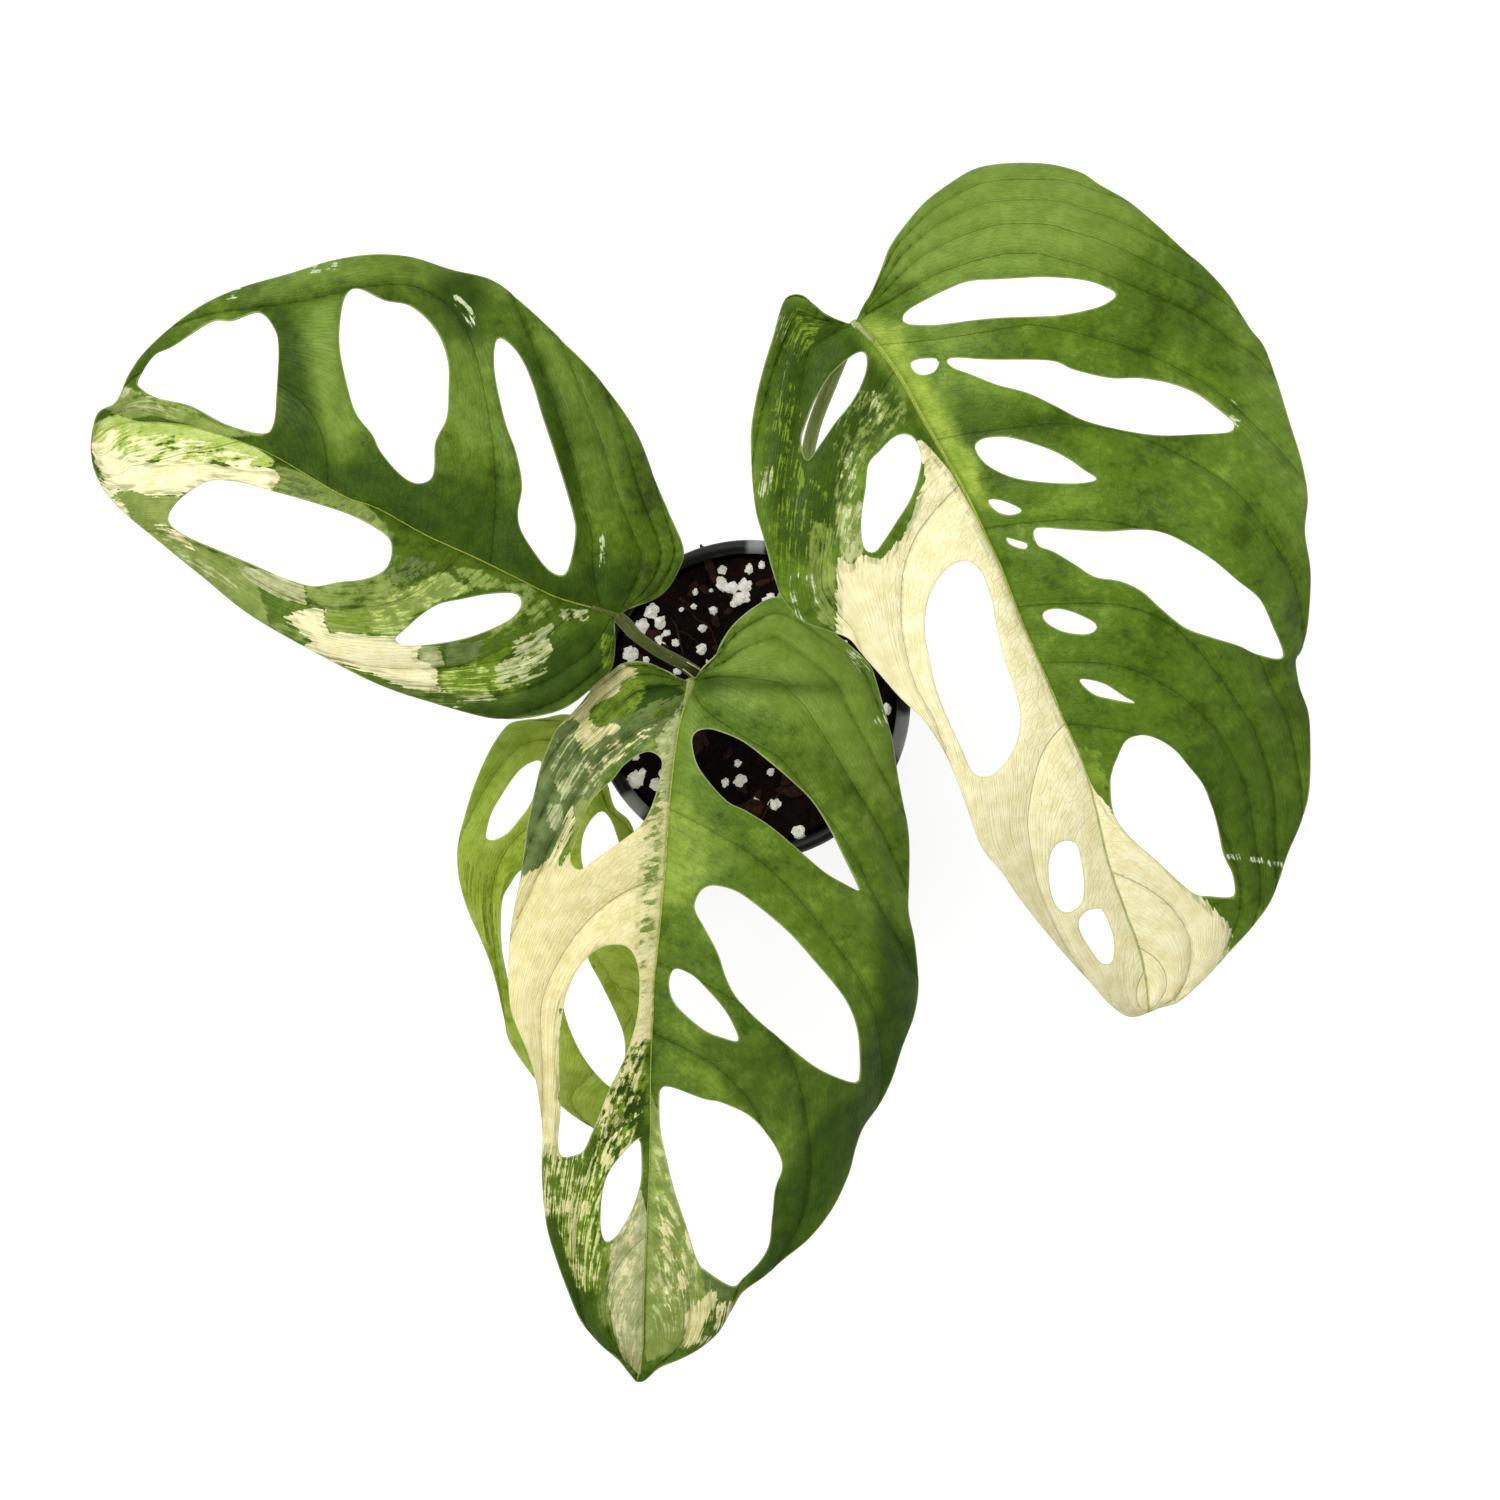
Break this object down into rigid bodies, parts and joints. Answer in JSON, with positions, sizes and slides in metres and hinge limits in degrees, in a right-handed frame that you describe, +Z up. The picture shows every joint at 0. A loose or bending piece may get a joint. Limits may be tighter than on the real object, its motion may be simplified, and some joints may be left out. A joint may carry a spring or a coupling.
{
  "type": "potted monstera adansonii",
  "caption": "Potted Swiss cheese plant: pointed, perforated leaves splashed green and cream on slim stalks from a short stem, in a small round black nursery pot of potting mix.",
  "frame": {"origin": "middle of the pot's flat underside", "axes": "+Z up along the pot's axis, +Y towards the plant's back, +X to its right"},
  "size_m": [0.2445, 0.2448, 0.1433],
  "materials": {
    "pot_plastic": "moulded black plastic, satin with a soft gloss",
    "potting_mix": "matt, damp peat and bark with white perlite",
    "stem": "satin green plant tissue",
    "petiole": "satin green plant tissue",
    "sheath": "dry papery sheath",
    "variegated_leaf": "waxy satin leaf, green with cream and grey-green sectors",
    "green_leaf": "waxy satin leaf, plain yellow-green"
  },
  "bodies": {
    "root": {"pot": "pot_plastic", "soil": "potting_mix", "stem": "stem", "sheath": "sheath", "petiole_left": "petiole", "petiole_right": "petiole", "petiole_front": "petiole", "petiole_low": "petiole", "leaf_left": "variegated_leaf", "leaf_right": "variegated_leaf", "leaf_front": "variegated_leaf", "leaf_low": "green_leaf"}
  },
  "joints": []
}
